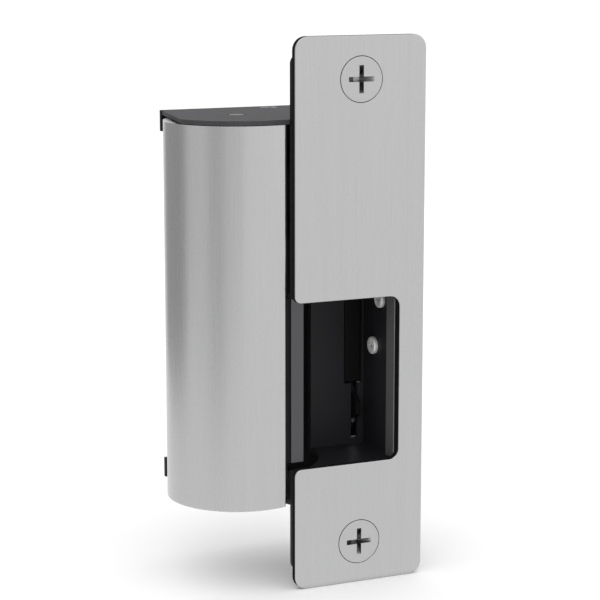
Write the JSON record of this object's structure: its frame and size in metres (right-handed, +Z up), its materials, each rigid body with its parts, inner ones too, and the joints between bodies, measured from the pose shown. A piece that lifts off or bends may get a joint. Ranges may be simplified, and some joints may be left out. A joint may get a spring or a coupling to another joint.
{
  "type": "electric door strike",
  "caption": "Electric door strike with a slim notched faceplate and a curved rotary keeper that solenoid-driven bolts lock or free.",
  "frame": {"origin": "midway between the two jamb screws, on the seat plane where the back of the mounting flange meets the jamb", "axes": "+X across the faceplate away from the keeper, +Y into the jamb, +Z up along the faceplate"},
  "size_m": [0.0538, 0.0385, 0.1238],
  "materials": {
    "satin_steel": "satin",
    "screw_steel": "satin",
    "black_casting": "matt black",
    "dark_cap": "matt dark grey",
    "charcoal_liner": "matt charcoal",
    "grey_trim": "dull grey",
    "black_screw": "black oxide",
    "bronze": "plain",
    "spring_steel": "bright",
    "zinc_steel": "zinc plated",
    "white_nylon": "matt",
    "copper_wire": "enamelled copper",
    "hard_steel": "ground",
    "black_plastic": "matt",
    "red_plastic": "gloss",
    "board_green": "solder mask"
  },
  "bodies": {
    "housing": {"faceplate": "satin_steel", "jamb_screws": "screw_steel", "body_frame": "black_casting", "upper_cap": "dark_cap", "lower_cap": "dark_cap", "back_plate": "black_casting", "drum_partition": "black_casting", "pocket_liner": "charcoal_liner", "pocket_trim": "grey_trim", "pocket_screws": "screw_steel", "cap_screws": "black_screw", "back_plate_screws": "black_screw", "keeper_pin": "black_screw", "keeper_spring": "spring_steel", "solenoid_frame": "zinc_steel", "solenoid_bobbin": "white_nylon", "coil_winding": "copper_wire", "solenoid_core": "zinc_steel", "armature_spring": "spring_steel", "bolt_guide": "black_casting", "solenoid_screws": "black_screw", "monitor_pivot_pin": "hard_steel", "monitor_switch": "black_plastic", "switch_terminals": "bronze", "switch_spacer": "black_plastic", "switch_screws": "black_screw", "wiring_board": "board_green", "board_standoffs": "bronze", "board_screws": "screw_steel", "wiring_socket": "white_nylon", "socket_pins": "bronze"},
    "keeper": {"keeper_carrier": "black_casting", "keeper_shell": "satin_steel", "keeper_catches": "hard_steel", "keeper_lip": "grey_trim", "keeper_lip_screws": "black_screw", "keeper_bushings": "bronze"},
    "armature": {"solenoid_armature": "zinc_steel", "lock_cam_plate": "zinc_steel"},
    "lower_bolt": {"lower_locking_bolt": "hard_steel", "lower_bolt_pin": "hard_steel"},
    "upper_bolt": {"upper_locking_bolt": "hard_steel", "upper_bolt_pin": "hard_steel"},
    "monitor": {"monitor_lever": "black_plastic"},
    "button": {"switch_button": "red_plastic"}
  },
  "joints": [
    {"name": "keeper_swing", "type": "hinge", "parent": "housing", "child": "keeper", "pos_m": [-0.0215, 0.0164, 0], "axis": [0, 0, -1], "range_deg": [0, 100], "stiffness_Nm_per_rad": 0.03, "springref_deg": -17.19, "deforming": ["keeper_spring"]},
    {"name": "armature_lift", "type": "slide", "parent": "housing", "child": "armature", "axis": [0, 0, 1], "range_m": [0, 0.0055], "stiffness_N_per_m": 60, "springref_m": -0.003, "deforming": ["armature_spring"]},
    {"name": "lower_bolt_slide", "type": "slide", "parent": "housing", "child": "lower_bolt", "axis": [-1, 0, 0], "range_m": [0, 0.0055]},
    {"name": "upper_bolt_slide", "type": "slide", "parent": "housing", "child": "upper_bolt", "axis": [-1, 0, 0], "range_m": [0, 0.0055]},
    {"name": "monitor_swing", "type": "hinge", "parent": "housing", "child": "monitor", "pos_m": [0.0078, 0.0204, 0.001], "axis": [1, 0, 0], "range_deg": [0, 7], "stiffness_Nm_per_rad": 0.004, "springref_deg": -11.46},
    {"name": "button_slide", "type": "slide", "parent": "housing", "child": "button", "axis": [0, 1, 0], "range_m": [0, 0.0011]}
  ],
  "couplings": [
    {"joint": "lower_bolt_slide", "follows": "armature_lift", "ratio": 1},
    {"joint": "upper_bolt_slide", "follows": "armature_lift", "ratio": 1},
    {"joint": "button_slide", "follows": "monitor_swing", "m_per_rad": 0.0090036}
  ]
}
